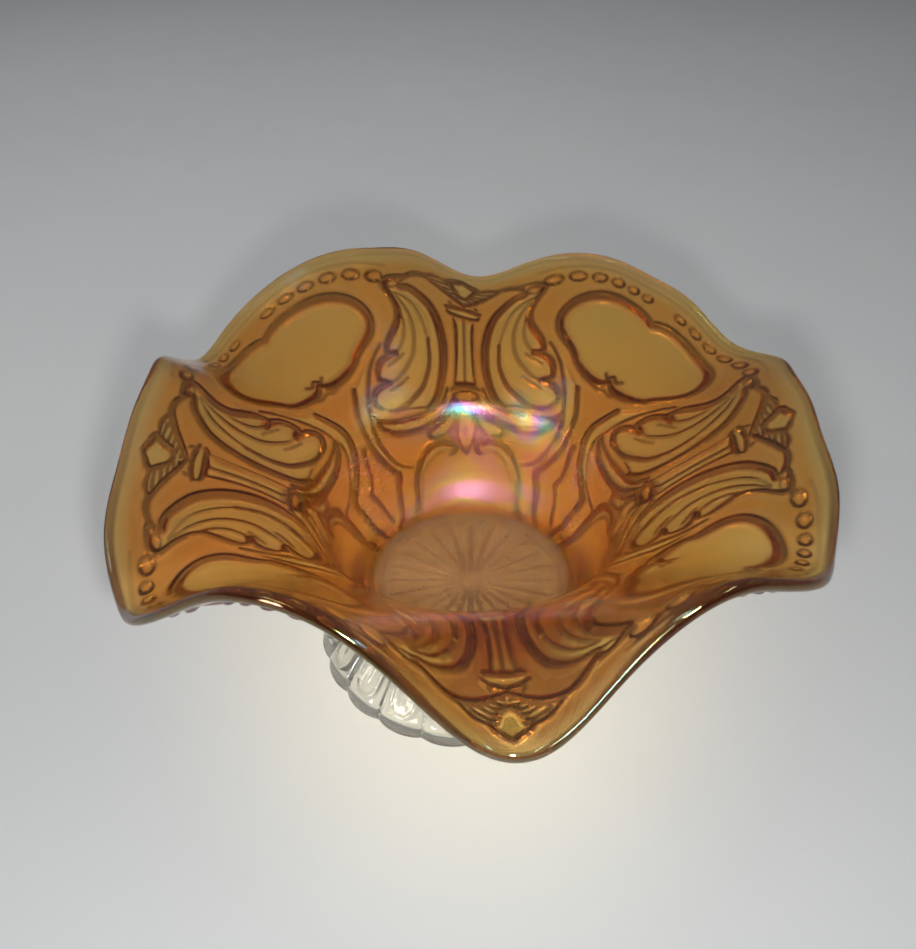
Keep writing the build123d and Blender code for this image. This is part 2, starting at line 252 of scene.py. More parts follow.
def draw_pattern(nu=480, nv=900):
    """height (mm, outwards), darkness (painted shade in the grooves), bevel ramp of raised work and painted glint
    beside the lines, of one period, u 0..93, v 0..2
    """
    us = (np.arange(nu) + 0.5) * HALF / nu
    vs = np.linspace(0, 2, nv)
    U, V = np.meshgrid(us, vs)
    H = np.zeros(U.shape)
    D = np.zeros(U.shape)
    T = np.zeros(U.shape)
    B = np.zeros(U.shape)

    def window(pts, pad_mm):
        p = np.array(pts, float)
        k = deg_mm(p[:, 1].mean())
        u0, u1 = p[:, 0].min() - pad_mm / k - 1, p[:, 0].max() + pad_mm / k + 1
        v0, v1 = p[:, 1].min() - pad_mm / V_TO_MM - 0.01, p[:, 1].max() + pad_mm / V_TO_MM + 0.01
        iu = np.where((us >= u0) & (us <= u1))[0]
        iv = np.where((vs >= v0) & (vs <= v1))[0]
        if not len(iu) or not len(iv):
            return None
        return slice(iv[0], iv[-1] + 1), slice(iu[0], iu[-1] + 1)

    def to_mm(p, k):
        return [(a * k, b * V_TO_MM) for a, b in p]

    def stretch(pts, w):
        """local scale: one figure for degrees at the middle height of the piece"""
        return deg_mm(np.array(pts)[:, 1].mean())

    for pts, rise, bevel in SHAPES:
        # one scale for the whole shape, at the middle height of its points
        w = window(pts, 1.0)
        if w is None:
            continue
        u, v = U[w], V[w]
        sm = pts
        ins = inside(u, v, sm)
        k = stretch(pts, w)
        d = seg_dist(u * k, v * V_TO_MM, to_mm(sm + [sm[0]], k))
        # the mirror lines are not edges
        if max(abs(sm[0][0]), abs(sm[-1][0])) < 0.01 or min(sm[0][0], sm[-1][0]) > HALF - 0.01:
            d = seg_dist(u * k, v * V_TO_MM, to_mm(sm, k))
        t = np.clip(d / bevel, 0, 1)
        s = np.sin(t * np.pi / 2) ** 0.9
        H[w] = np.maximum(H[w], np.where(ins, rise * s, 0))
        T[w] = np.maximum(T[w], np.where(ins, t, 0))
    for pts, width, depth, dark in LINES:
        line = smooth_line(pts) if len(pts) > 2 else np.array(pts, float)
        w = window(line, width * 2.2)
        if w is None:
            continue
        # short runs, so that degrees keep their true size; strokes swell in the middle
        u, v = U[w], V[w]
        g = np.zeros(u.shape)
        g2 = np.zeros(u.shape)
        far = np.full(u.shape, 1e9)
        n = len(line) - 1
        for i in range(0, n, 4):
            run = line[i:i + 5]
            k = deg_mm(run[:, 1].mean())
            d = seg_dist(u * k, v * V_TO_MM, [(a * k, b * V_TO_MM) for a, b in run])
            wd = width * (0.72 + 0.5 * math.sin(math.pi * min(i + 2, n) / n)) if n > 4 else width
            g = np.maximum(g, np.exp(-(d / (wd * 0.60)) ** 2))
            g2 = np.maximum(g2, np.exp(-(d / (wd * 0.70)) ** 4))
            far = np.minimum(far, d / wd)
        H[w] -= depth * g
        # painted shade along each groove
        D[w] = np.maximum(D[w], dark * g2)
        # a painted glint in a band just outside each groove
        B[w] = np.maximum(B[w], dark * np.exp(-((far - 1.45) / 0.36) ** 2))
    for bu, bv, hu, hv, rise in BEADS:
        q = ((U - bu) / hu) ** 2 + ((V - bv) / hv) ** 2
        dome = np.sqrt(np.clip(1 - q, 0, 1))
        H[:] = np.where(q < 1, np.maximum(H, 0) * 0.3 + rise * dome, H)
        ringd = np.exp(-((np.sqrt(q) - 1.0) / 0.22) ** 2)
        # a ring of painted shade round each bead
        D[:] = np.maximum(np.where(q < 1.9, 0.8 * ringd, 0), np.where(q < 0.7, 0, D))
    # whole period: mirror, then the one line that is not mirrored
    # the painted glint is weaker off the raised work and gone on the darkest grooves
    B *= np.clip(T * 12, 0.25, 1) * (1 - np.clip(D * 1.6, 0, 1))
    H = np.hstack([H, H[:, ::-1]])
    D = np.hstack([D, D[:, ::-1]])
    T = np.hstack([T, T[:, ::-1]])
    B = np.hstack([B, B[:, ::-1]])
    us2 = (np.arange(2 * nu) + 0.5) * HALF / nu
    U2, V2 = np.meshgrid(us2, vs)
    line = smooth_line(ZIGZAG)
    k = deg_mm(0.6)
    d = seg_dist(U2 * k, V2 * V_TO_MM, [(a * k, b * V_TO_MM) for a, b in line])
    H -= 0.4 * np.exp(-(d / 0.8) ** 2)
    # painted shade along the zigzag's groove
    D = np.maximum(D, 0.9 * np.exp(-(d / 0.8) ** 4))
    return H * 1.75, D, T, B


# --- where the pattern lies round the bowl ----------------------------------------------
def motif_phase():
    """u (0..93) of every half degree round the bowl: four columns, four hearts"""
    knots = [(-2, -93.0), (44.5, -46.5), (92, 0.0), (138.5, 46.5), (185.5, 93.0), (230, 139.5),
             (276, 186.0), (318, 232.5), (358, 279.0)]
    a = np.array([k[0] for k in knots], float)
    off = np.array([k[1] for k in knots]) - (a - 92) * 372 / 360
    g = np.arange(0, 360, 0.5)
    aa = np.concatenate([a[:-1] - 360, a[:-1], a[:-1] + 360])
    oo = np.concatenate([off[:-1]] * 3)
    o = np.interp(g, aa, oo)
    k = np.exp(-0.5 * (np.arange(-40, 41) * 0.5 / 6.0) ** 2)
    k /= k.sum()
    o = np.convolve(np.concatenate([o[-40:], o, o[:40]]), k, "valid")
    return g, o


PH_A, PH_O = motif_phase()


def phase(th):
    deg = np.mod(np.degrees(th), 360)
    o = np.interp(deg, np.append(PH_A, 360), np.append(PH_O, PH_O[0]))
    return np.mod((deg - 92) * 372 / 360 + o, 93.0)


# the second array is painted shade in the grooves, the fourth a painted glint beside them
PAT_H, PAT_D, PAT_T, PAT_GLINT = draw_pattern()
GV = np.gradient(PAT_H, 2.0 / (PAT_H.shape[0] - 1) * V_TO_MM, axis=0)
GU = np.gradient(PAT_H, 93.0 / PAT_H.shape[1], axis=1) / deg_mm(np.linspace(0, 2, PAT_H.shape[0]))[:, None]
# PAT_S drives painted shade on the slopes of the relief
PAT_S = np.clip((np.hypot(GV, GU) - 0.12) / 0.75, 0, 1)         # steepness of the relief


def sample(img, u, v):
    nv, nu = img.shape
    x = np.mod(u / 93.0 * nu - 0.5, nu)
    y = np.clip(v / 2.0 * (nv - 1), 0, nv - 1.001)
    i, j = np.floor(x).astype(int) % nu, np.floor(y).astype(int)
    a, b = x - np.floor(x), y - j
    i2, j2 = (i + 1) % nu, np.minimum(j + 1, nv - 1)
    return (img[j, i] * (1 - a) + img[j, i2] * a) * (1 - b) + (img[j2, i] * (1 - a) + img[j2, i2] * a) * b


# --- mesh help ---------------------------------------------------------------------------
def ring_mesh(name, rows, caps, attrs, mat_rows, mats):
    """rows: (n, m, 3) points in mm, one closed ring a row.  caps: first and last centre, or None
    for a mesh that closes on itself.  attrs: name -> (n, m).  mat_rows: material of each strip."""
    n, m = rows.shape[:2]
    co = rows.reshape(-1, 3)
    idx = np.arange(n * m).reshape(n, m)
    nx = np.roll(idx, -1, 1)
    if caps is None:
        lo, hi = idx, np.roll(idx, -1, 0)
        lo2, hi2 = nx, np.roll(nx, -1, 0)
    else:
        lo, hi, lo2, hi2 = idx[:-1], idx[1:], nx[:-1], nx[1:]
    quads = np.stack([lo, lo2, hi2, hi], -1).reshape(-1, 4)
    qm = np.repeat(np.asarray(mat_rows)[:len(lo)], m)
    tris = np.zeros((0, 3), int)
    tm = np.zeros(0, int)
    extra = {k: [] for k in attrs}
    if caps is not None:
        c0, c1 = n * m, n * m + 1
        co = np.vstack([co, np.array(caps, float)])
        t0 = np.stack([np.full(m, c0), nx[0], idx[0]], -1)
        t1 = np.stack([np.full(m, c1), idx[-1], nx[-1]], -1)
        tris = np.vstack([t0, t1])
        tm = np.concatenate([np.full(m, mat_rows[0]), np.full(m, mat_rows[-1])])
        for k, a in attrs.items():
            extra[k] = [float(a[0].mean()), float(a[-1].mean())]
    me = bpy.data.meshes.new(name)
    co = (co + np.array([AXIS_X, AXIS_Y, 0.0])) * MM
    me.vertices.add(len(co))
    me.vertices.foreach_set("co", co.astype(np.float32).ravel())
    nl = quads.size + tris.size
    me.loops.add(nl)
    me.loops.foreach_set("vertex_index", np.concatenate([quads.ravel(), tris.ravel()]).astype(np.int32))
    me.polygons.add(len(quads) + len(tris))
    start = np.concatenate([np.arange(len(quads)) * 4, quads.size + np.arange(len(tris)) * 3])
    me.polygons.foreach_set("loop_start", start.astype(np.int32))
    me.polygons.foreach_set("material_index", np.concatenate([qm, tm]).astype(np.int32))
    me.polygons.foreach_set("use_smooth", np.ones(len(start), bool))
    me.update(calc_edges=True)
    for k, a in attrs.items():
        at = me.attributes.new(k, "FLOAT", "POINT")
        at.data.foreach_set("value", np.concatenate([a.ravel(), np.array(extra[k], float)]).astype(np.float32))
    me.validate()
    for mt in mats:
        me.materials.append(mt)
    ob = bpy.data.objects.new(name, me)
    bpy.context.scene.collection.objects.link(ob)
    return ob


def ripple(th, z, seed, scale):
    """slow, small unevenness of hand-finished glass"""
    rng = np.random.default_rng(seed)
    out = 0
    for k in (2, 3, 5, 7, 11, 13):
        out = out + rng.normal() / k * np.sin(k * th + rng.uniform(0, TAU) + z * rng.uniform(0.02, 0.08))
    return out * scale


# --- bowl --------------------------------------------------------------------------------
def build_bowl(mats):
    m = 1000
    th = np.arange(m) * TAU / m
    cs, sn = np.cos(th), np.sin(th)
    rows, dark, tone, rim, mat, up_wall, high, side, disc, steep, crest_glint, edge = ([] for _ in range(12))
    lz = lip_z(th)
    k = np.exp(-0.5 * (np.arange(-120, 121) / 45.0) ** 2)
    slow = np.convolve(np.concatenate([lz[-120:], lz, lz[:120]]), k / k.sum(), "valid")
    # lobe: how high the lip rises here, which sets a tone of painted reflection
    lobe = np.clip((slow - 80.0) / 22.0, 0, 1)
    ph = phase(th)

    # d: painted groove shade; st: steepness, for painted shade on slopes; cr: painted glint; ed: lip edge, for painted
    # shade
    def add(rz, d, tn, rm, sd, v=0.0, hi=0.0, dc=0.0, st=0.0, cr=0.0, ed=0.0):
        crest_glint.append(np.broadcast_to(cr, (m,)))
        edge.append(np.full(m, float(ed)))
        side.append(np.full(m, float(sd)))
        disc.append(np.full(m, float(dc)))
        steep.append(np.broadcast_to(st, (m,)))
        up_wall.append(np.full(m, float(v)))
        high.append(np.broadcast_to(hi, (m,)))
        rz = np.broadcast_to(rz, (m, 2))
        rows.append(np.stack([rz[:, 0] * cs, rz[:, 0] * sn, rz[:, 1]], -1))
        dark.append(np.broadcast_to(d, (m,)))
        tone.append(np.broadcast_to(tn, (m,)))
        rim.append(np.broadcast_to(rm, (m,)))
        mat.append(0)

    # underside of the floor, with its pressed star of 24 rays
    for r in np.concatenate([np.linspace(1.5, 27.5, 20), np.linspace(29, 37.2, 7)]):
        tri = np.abs(((th * 24 / TAU + 0.5) % 1.0) - 0.5) * TAU / 24 * r      # mm from the middle of a ray
        ends = np.clip((r - 2.5) / 2.5, 0, 1) * np.clip((27.2 - r) / 1.2, 0, 1)
        depth = np.clip(0.85 - tri, 0, 0.7) * ends
        v = 0.10 + 0.06 * np.clip((r - 33) / 5, 0, 1)
        # painted shade in the rays' grooves, and in the pressed lines at the floor's edge
        d = np.clip(depth / 0.7, 0, 1) * 0.30
        if r > 32:
            d = np.maximum(d, sample(PAT_D, ph, np.full(m, v)))
        add(np.stack([np.full(m, r), FLOOR_UNDER + depth], -1), d, 0.35, 0.0, 1, 0.0, 0.0, np.clip((31.5 - r) / 1.5, 0, 1))
    # heel: small round, then up to the cup
    heel = [(37.75, 19.82, .155), (38.02, 20.0, .165), (38.15, 20.3, .175), (38.5, 21.0, .205), (39.0, 21.8, .235),
            (39.6, 22.9, .27), (40.15, 23.9, .31), (40.7, 24.85, .345), (41.2, 25.8, .38)]
    hp = np.array(heel)
    p46, t46 = wall(0.0, 0.46)
    end = shift(p46, t46, -thickness(0.46) / 2)
    hp = np.vstack([hp, [(41.2 + (end[0] - 41.2) * f, 25.8 + (end[1] - 25.8) * f, 0.38 + 0.08 * f) for f in (0.33, 0.67)]])
    for r, z, v in hp:
        vv = np.full(m, v)
        h = sample(PAT_H, ph, vv) * np.clip((z - 20.2) / 1.6, 0, 1)
        add(np.stack([r + 0.85 * h, np.full(m, z) - 0.5 * h * (z > 20.5)], -1), sample(PAT_D, ph, vv), 0.25, 0.0, 1, v, sample(PAT_T, ph, vv), 0.0,
            sample(PAT_S, ph, vv), sample(PAT_GLINT, ph, vv))
    # outer face, cup then skirt
    vs = np.concatenate([np.linspace(0.46, 1.0, 50)[:-1], np.linspace(1.0, 1.962, 112)])
    for v in vs:
        p, t = wall(th, v)
        vv = np.full(m, v)
        h = sample(PAT_H, ph, vv) * np.clip((1.965 - v) / 0.03, 0, 1)
        q = shift(p, t, -thickness(v) / 2 - h)
        up = np.clip((v - 0.8) / 0.7, 0, 1)
        add(q, sample(PAT_D, ph, vv), 0.25 + (lobe - 0.25) * up, np.clip((v - 1.87) / 0.10, 0, 1), 1, v, sample(PAT_T, ph, vv), 0.0,
            sample(PAT_S, ph, vv), sample(PAT_GLINT, ph, vv), np.clip((v - 1.945) / 0.015, 0, 1))
    # fire-polished lip
    p, t = wall(th, 2.0)
    n = np.hypot(t[:, 0], t[:, 1])[:, None]
    tt = t / n
    nn = np.stack([-tt[:, 1], tt[:, 0]], -1)
    back = p - tt * LIP_RADIUS
    # lip_edge marks the lip's outer, lower side for painted shade
    for a in np.radians([-75, -52, -28, 0, 28, 52, 75]):
        add(back + LIP_RADIUS * (math.cos(a) * tt + math.sin(a) * nn), 0.0, lobe, 1.0, 0, 2.0,
            ed=min(max((0.5 - a) / 0.6, 0), 1))
    # inner face
    for v in np.concatenate([np.linspace(1.962, 1.0, 34), np.linspace(1.0, 0.0, 30)[1:]]):
        p, t = wall(th, v)
        q = shift(p, t, thickness(v) / 2 + ripple(th, v * 50, 5, 0.05))
        up = np.clip((v - 0.8) / 0.7, 0, 1)
        add(q, 0.0, 0.25 + (lobe - 0.25) * up, np.clip((v - 1.87) / 0.10, 0, 1), 0, v, 0.0, np.clip((0.15 - v) / 0.03, 0, 1))
    for r in (26.0, 22.0, 17.0, 11.0, 5.0, 1.5):
        add(np.stack([np.full(m, r), np.full(m, FLOOR_TOP)], -1), 0.0, 0.2, 0.0, 0, 0.0, 0.0, 1.0)
    ob = ring_mesh("bowl_glass", np.array(rows), [(0, 0, FLOOR_UNDER), (0, 0, FLOOR_TOP)],
                   {"line_shade": np.array(dark), "lobe": np.array(tone), "rim_band": np.array(rim), "up_wall": np.array(up_wall),
                    "raised": np.array(high), "side": np.array(side), "disc": np.array(disc),
                    "steep": np.array(steep), "crest_glint": np.array(crest_glint), "lip_edge": np.array(edge)}, mat, [mats])
    return ob


# --- foot --------------------------------------------------------------------------------
def catmull(pts, per):
    p = np.array(pts, float)
    q = np.vstack([2 * p[0] - p[1], p, 2 * p[-1] - p[-2]])
    out = []
    for i in range(1, len(q) - 2):
        t = np.linspace(0, 1, per, endpoint=False)[:, None]
        a, b, c, d = q[i - 1], q[i], q[i + 1], q[i + 2]
        out.append(0.5 * (2 * b + (c - a) * t + (2 * a - 5 * b + 4 * c - d) * t ** 2 + (3 * b - a - 3 * c + d) * t ** 3))
    return np.vstack(out + [p[-1:]])


PETALS = 20


def build_foot(mat):
    m = PETALS * 44
    th = np.arange(m) * TAU / m
    cs, sn = np.cos(th), np.sin(th)
    a = (th * PETALS / TAU) % 1.0 - 0.5            # -0.5 at a notch, 0 in the petal's middle
    rows, crease_shade = [], []
    top = FLOOR_UNDER - 0.05
    petal = 1 - (2 * np.abs(a)) ** 2.2               # 1 in the middle, 0 at the notch

    outer = catmull([(37.9, top), (39.2, 17.9), (41.6, 15.2), (44.3, 11.6), (46.9, 8.2), (49.2, 5.2), (50.3, 3.2)], 9)
    s = np.linspace(0, 1, len(outer))
    d_out = np.gradient(outer, axis=0)
    d_out /= np.hypot(d_out[:, 0], d_out[:, 1])[:, None]
    for (r, z), (dr, dz), si in zip(outer, d_out, s):
        grow = np.clip((si - 0.10) / 0.35, 0, 1)
        k = TAU / PETALS * r                         # width of a petal here, mm
        x = a * k
        bulge = 1.7 * (petal - 0.66) * grow
        # raised outline inside each petal, rounded at the tip, and a thin rib down its middle
        half = k * 0.5 * (0.66 - 0.12 * si)
        tip = 0.80
        loop = np.abs(np.hypot(x, np.clip(si - tip + half / 22, 0, 1) * 22) - half)
        line = 0.75 * np.exp(-(loop / 0.6) ** 2) * np.clip((si - 0.15) / 0.2, 0, 1) * (si < tip + 0.05)
        rib = 0.55 * np.exp(-(x / 0.5) ** 2) * np.clip((si - 0.2) / 0.2, 0, 1) * np.clip((0.66 - si) / 0.15, 0, 1)
        notch = -0.9 * np.exp(-((k / 2 - np.abs(x)) / 0.6) ** 2) * grow
        h = bulge + line + rib + notch
        rr, zz = r + h * (-dz), z + h * dr
        rows.append(np.stack([rr * cs, rr * sn, zz], -1))
        # painted shade in the notches and beside the raised outlines
        side = np.exp(-((loop - 0.75) / 0.35) ** 2) * (line.max() > 0.2) * (si < tip + 0.05)
        crease_shade.append(np.clip(np.exp(-((k / 2 - np.abs(x)) / 0.55) ** 2) * grow + 0.7 * side * grow, 0, 1))
    # edge: petal tips reach 51.3, notches 49.7
    edge = 49.75 + 1.5 * petal
    for f, z in ((0.55, 2.3), (0.86, 1.5), (1.0, 0.8), (0.97, 0.3)):
        rr = 49.4 + (edge - 49.4) * f
        rows.append(np.stack([rr * cs, rr * sn, np.full(m, z)], -1))
        # painted shade on the foot's rim, stronger on its outer rows
        crease_shade.append(np.full(m, 0.25 + 0.5 * (f > 0.9)))
    for r in (49.0, 47.6, 46.4, 45.7):
        rr = np.full(m, r) if r < 48.5 else np.minimum(np.full(m, r), edge - 0.5)
        rows.append(np.stack([rr * cs, rr * sn, np.full(m, 0.0)], -1))
    inner = catmull([(45.2, 0.35), (43.6, 2.4), (41.0, 5.4), (38.2, 8.6), (35.4, 11.8), (32.0, 16.2), (29.7, top - 0.1)], 5)
    for r, z in inner:
        rows.append(np.stack([r * cs, r * sn, np.full(m, z)], -1))
    for r in (30.2, 33.0, 36.0, 37.4):
        rows.append(np.stack([r * cs, r * sn, np.full(m, top)], -1))
    rows = np.array(rows)
    crease_shade += [np.zeros(m)] * (len(rows) - len(crease_shade))
    ob = ring_mesh("foot_glass", rows, None, {"crease_shade": np.array(crease_shade)}, [0] * len(rows), [mat])
    # rows run from the outer top, down, round and back: turn the faces outwards
    ob.data.flip_normals()
    return ob


# --- materials -----------------------------------------------------------------------------
class Nodes:
    def __init__(self, name):
        self.m = bpy.data.materials.new(name)
        self.m.use_nodes = True
        self.nt = self.m.node_tree
        self.nt.nodes.clear()
        self.out = self.nt.nodes.new("ShaderNodeOutputMaterial")

    def add(self, kind, **inputs):
        n = self.nt.nodes.new("ShaderNode" + kind)
        for k, v in inputs.items():
            k = k.replace("_", " ")
            if k in n.inputs:
                self.put(n.inputs[k], v)
            else:
                setattr(n, k.replace(" ", "_"), v)
        return n

    def put(self, socket, v):
        if hasattr(v, "is_output") or isinstance(v, bpy.types.NodeSocket):
            self.nt.links.new(v, socket)
        else:
            socket.default_value = v

    def attr(self, name):
        return self.add("Attribute", attribute_name=name).outputs["Fac"]

    def noise(self, coord, scale, detail=3.0, rough=0.5, distort=0.0):
        n = self.add("TexNoise")
        self.put(n.inputs["Vector"], coord)
        n.inputs["Scale"].default_value = scale
        n.inputs["Detail"].default_value = detail
        n.inputs["Roughness"].default_value = rough
        n.inputs["Distortion"].default_value = distort
        return n.outputs["Fac"]

    def math(self, op, a, b=None, clamp=False):
        n = self.nt.nodes.new("ShaderNodeMath")
        n.operation = op
        n.use_clamp = clamp
        self.put(n.inputs[0], a)
        if b is not None:
            self.put(n.inputs[1], b)
        return n.outputs[0]

    def ramp(self, fac, stops):
        n = self.nt.nodes.new("ShaderNodeValToRGB")
        e = n.color_ramp.elements
        while len(e) < len(stops):
            e.new(0.5)
        for el, (pos, col) in zip(e, stops):
            el.position = pos
            el.color = (*col, 1) if len(col) == 3 else col
        self.put(n.inputs[0], fac)
        return n.outputs["Color"]

    def mix(self, fac, a, b, blend="MIX"):
        n = self.nt.nodes.new("ShaderNodeMix")
        n.data_type = "RGBA"
        n.blend_type = blend
        self.put(n.inputs["Factor"], fac)
        for s, v in ((6, a), (7, b)):
            if isinstance(v, tuple):
                v = (*v, 1.0) if len(v) == 3 else v
            self.put(n.inputs[s], v)
        return n.outputs[2]

    def map(self, fac, a, b, c, d):
        n = self.nt.nodes.new("ShaderNodeMapRange")
        self.put(n.inputs["Value"], fac)
        for k, v in zip(("From Min", "From Max", "To Min", "To Max"), (a, b, c, d)):
            n.inputs[k].default_value = v
        return n.outputs["Result"]

    def bump(self, height, strength, dist):
        n = self.nt.nodes.new("ShaderNodeBump")
        n.inputs["Strength"].default_value = strength
        n.inputs["Distance"].default_value = dist
        self.put(n.inputs["Height"], height)
        return n.outputs["Normal"]

    def object_coord(self):
        return self.add("TexCoord").outputs["Object"]

    def polar(self, coord, around, along):
        """object coordinates wrapped round the bowl's axis, so that marks run round it"""
        sep = self.nt.nodes.new("ShaderNodeSeparateXYZ")
        self.put(sep.inputs[0], coord)
        x = self.math("SUBTRACT", sep.outputs[0], AXIS_X * MM)
        y = self.math("SUBTRACT", sep.outputs[1], AXIS_Y * MM)
        ang = self.math("ARCTAN2", y, x)
        rad = self.math("SQRT", self.math("ADD", self.math("MULTIPLY", x, x), self.math("MULTIPLY", y, y)))
        comb = self.nt.nodes.new("ShaderNodeCombineXYZ")
        self.put(comb.inputs[0], self.math("MULTIPLY", self.math("SINE", ang), around))
        self.put(comb.inputs[1], self.math("MULTIPLY", self.math("COSINE", ang), around))
        self.put(comb.inputs[2], self.math("MULTIPLY", self.math("ADD", rad, sep.outputs[2]), along))
        return comb.outputs[0]

    def surface(self, **inputs):
        p = self.nt.nodes.new("ShaderNodeBsdfPrincipled")
        for k, v in inputs.items():
            self.put(p.inputs[k.replace("_", " ")], v)
        self.nt.links.new(p.outputs[0], self.out.inputs["Surface"])
        return self.m


def marigold():
    n = Nodes("marigold_glass")
    co = n.object_coord()
    big = n.noise(co, 22.0, 3.0, 0.55, 0.6)
    fine = n.noise(co, 420.0, 4.0, 0.6)
    marks = n.noise(n.polar(co, 0.6, 900.0), 3.0, 4.0, 0.6)
    line, lobe, rim, up = n.attr("line_shade"), n.attr("lobe"), n.attr("rim_band"), n.attr("up_wall")
    high, side, disc, steep = n.attr("raised"), n.attr("side"), n.attr("disc"), n.attr("steep")
    line = n.math("MULTIPLY", line, 1.5, clamp=True)
    sep = n.nt.nodes.new("ShaderNodeSeparateXYZ")
    n.put(sep.inputs[0], co)
    # mask for the front wall, where painted shade darkens the ground and a painted highlight lightens the raised work
    front_painted_contrast = n.math("MULTIPLY", n.map(sep.outputs[1], -0.042, -0.080, 0.0, 1.0), n.map(up, 1.0, 1.15, 0.0, 1.0))
    # t: orange where the lip is low, paler and olive where it rises: painted reflection of the lustre, with random
    # patches on top
    t = n.math("ADD", lobe, n.map(big, 0.3, 0.7, -0.25, 0.25), clamp=True)
    # lustre of the inner face
    cin = n.ramp(t, [(0.0, (0.98, 0.50, 0.11)), (0.45, (0.98, 0.57, 0.14)), (1.0, (0.95, 0.67, 0.20))])
    band = n.ramp(n.noise(co, 14.0, 2.0, 0.5), [(0.42, (0.86, 0.80, 0.32)), (0.62, (0.97, 0.72, 0.40))])
    cin = n.mix(n.map(up, 1.50, 1.86, 0.0, 0.62), cin, (0.93, 0.83, 0.33))
    cin = n.mix(n.map(rim, 0, 1, 0, 0.85), cin, band)
    cin = n.mix(n.map(marks, 0.45, 0.75, 0.0, 0.18), cin, (0.55, 0.24, 0.09))
    # relief of the outer face: deep orange ground, paler raised work, dark edges of painted shade; towards the front,
    # more painted shade on the ground and a painted highlight on the raised work
    low_c = n.ramp(t, [(0.0, (0.95, 0.28, 0.035)), (0.5, (0.97, 0.37, 0.05)), (1.0, (0.96, 0.52, 0.09))])
    high_c = n.ramp(t, [(0.0, (0.99, 0.80, 0.30)), (0.5, (0.99, 0.82, 0.29)), (1.0, (0.99, 0.88, 0.29))])
    low_c = n.mix(n.math("MULTIPLY", front_painted_contrast, 0.48), low_c, (0.52, 0.12, 0.016))
    high_c = n.mix(front_painted_contrast, high_c, (1.0, 0.90, 0.30))
    cout = n.mix(high, low_c, high_c)
    # painted shade on the steep slopes of the relief
    cout = n.mix(n.math("MULTIPLY", steep, 0.75), cout, (0.50, 0.11, 0.014))
    cout = n.mix(n.map(rim, 0, 1, 0, 0.9), cout, (0.98, 0.90, 0.40))
    # painted glint: pale gold beside the lines, where the relief's edges would catch the light
    cout = n.mix(n.math("MULTIPLY", n.attr("crest_glint"), n.map(n.noise(co, 45.0, 2.0, 0.5), 0.35, 0.6, 0.45, 0.95)), cout,
                 (1.0, 0.88, 0.42))
    # painted shade along the pressed lines: near black-brown in their grooves
    fade = n.math("MULTIPLY", line, n.map(n.noise(co, 60.0, 2.0, 0.5), 0.3, 0.7, 0.94, 1.0))
    cout = n.mix(fade, cout, (0.060, 0.008, 0.002))
    col = n.mix(side, cin, cout)
    col = n.mix(n.map(n.noise(co, 11.0, 2.0, 0.5, 0.5), 0.62, 0.32, 0.0, 0.16), col, (0.86, 0.32, 0.05))
    # painted shade on the lip's outer edge, darker towards the front, for the dark room it would reflect
    tip = n.math("MULTIPLY", n.attr("lip_edge"), n.map(sep.outputs[1], 0.02, -0.05, 0.38, 0.97))
    col = n.mix(tip, col, (0.10, 0.030, 0.026))
    # flat floor: worn and specked, its star pressed from below
    cloud = n.noise(co, 70.0, 4.0, 0.6, 0.3)
    speck = n.add("TexVoronoi", Scale=420.0)
    n.put(speck.inputs["Vector"], co)
    dots = n.map(speck.outputs["Distance"], 0.05, 0.16, 1.0, 0.0)
    keep = n.map(n.noise(co, 160.0, 2.0, 0.5), 0.46, 0.58, 0.0, 1.0)
    cd = n.ramp(cloud, [(0.25, (0.50, 0.28, 0.125)), (0.75, (0.70, 0.42, 0.19))])
    cd = n.mix(n.math("MULTIPLY", n.math("MULTIPLY", dots, keep), 0.95), cd, (0.06, 0.025, 0.01))
    # painted shade in the star's grooves on the floor
    cd = n.mix(line, cd, (0.16, 0.075, 0.035))
    col = n.mix(disc, col, cd)
    cup = n.map(up, 0.8, 1.15, 1.0, 0.0)
    r_in = n.math("ADD", n.map(marks, 0.3, 0.7, 0.03, 0.08), n.map(fine, 0.4, 0.7, 0.0, 0.04))
    r_in = n.math("ADD", r_in, n.math("MULTIPLY", cup, n.map(big, 0.35, 0.7, 0.20, 0.38)))
    r_out = n.map(fine, 0.35, 0.7, 0.03, 0.08)
    pick = n.nt.nodes.new("ShaderNodeMix")
    n.put(pick.inputs["Factor"], side)
    n.put(pick.inputs[2], r_in)
    n.put(pick.inputs[3], r_out)
    rough = n.math("ADD", pick.outputs[0], n.math("MULTIPLY", disc, 0.06))
    film = n.math("ADD", n.map(big, 0.25, 0.75, 148.0, 196.0), n.math("MULTIPLY", rim, 40.0))
    swirl = n.noise(co, 26.0, 1.0, 0.4, 1.0)
    film = n.math("ADD", film, n.math("MULTIPLY", cup, n.map(swirl, 0.35, 0.65, 10.0, 270.0)))
    # a little of the light is held by the lustre: more on the outer face, most on the worn floor
    clear = n.math("SUBTRACT", n.map(disc, 0, 1, 0.985, 0.80), n.math("MULTIPLY", side, 0.085))
    film = n.math("ADD", film, n.math("MULTIPLY", n.attr("lip_edge"), 70.0))
    h = n.math("ADD", n.math("MULTIPLY", marks, 0.6), n.math("MULTIPLY", big, 1.2))
    # where the painted glint is, the glass is made less clear so that it shows as diffuse gold
    m = n.surface(Base_Color=col, Roughness=rough, IOR=1.52, Transmission_Weight=n.math("SUBTRACT", clear, n.math("MULTIPLY", n.attr("crest_glint"), 0.22)),
                  Thin_Film_Thickness=film, Thin_Film_IOR=1.8, Normal=n.bump(h, 0.22, 0.0004))
    vol = n.nt.nodes.new("ShaderNodeVolumeAbsorption")
    vol.inputs["Color"].default_value = (0.95, 0.62, 0.05, 1.0)
    vol.inputs["Density"].default_value = 98.0
    n.nt.links.new(vol.outputs[0], n.out.inputs["Volume"])
    return m


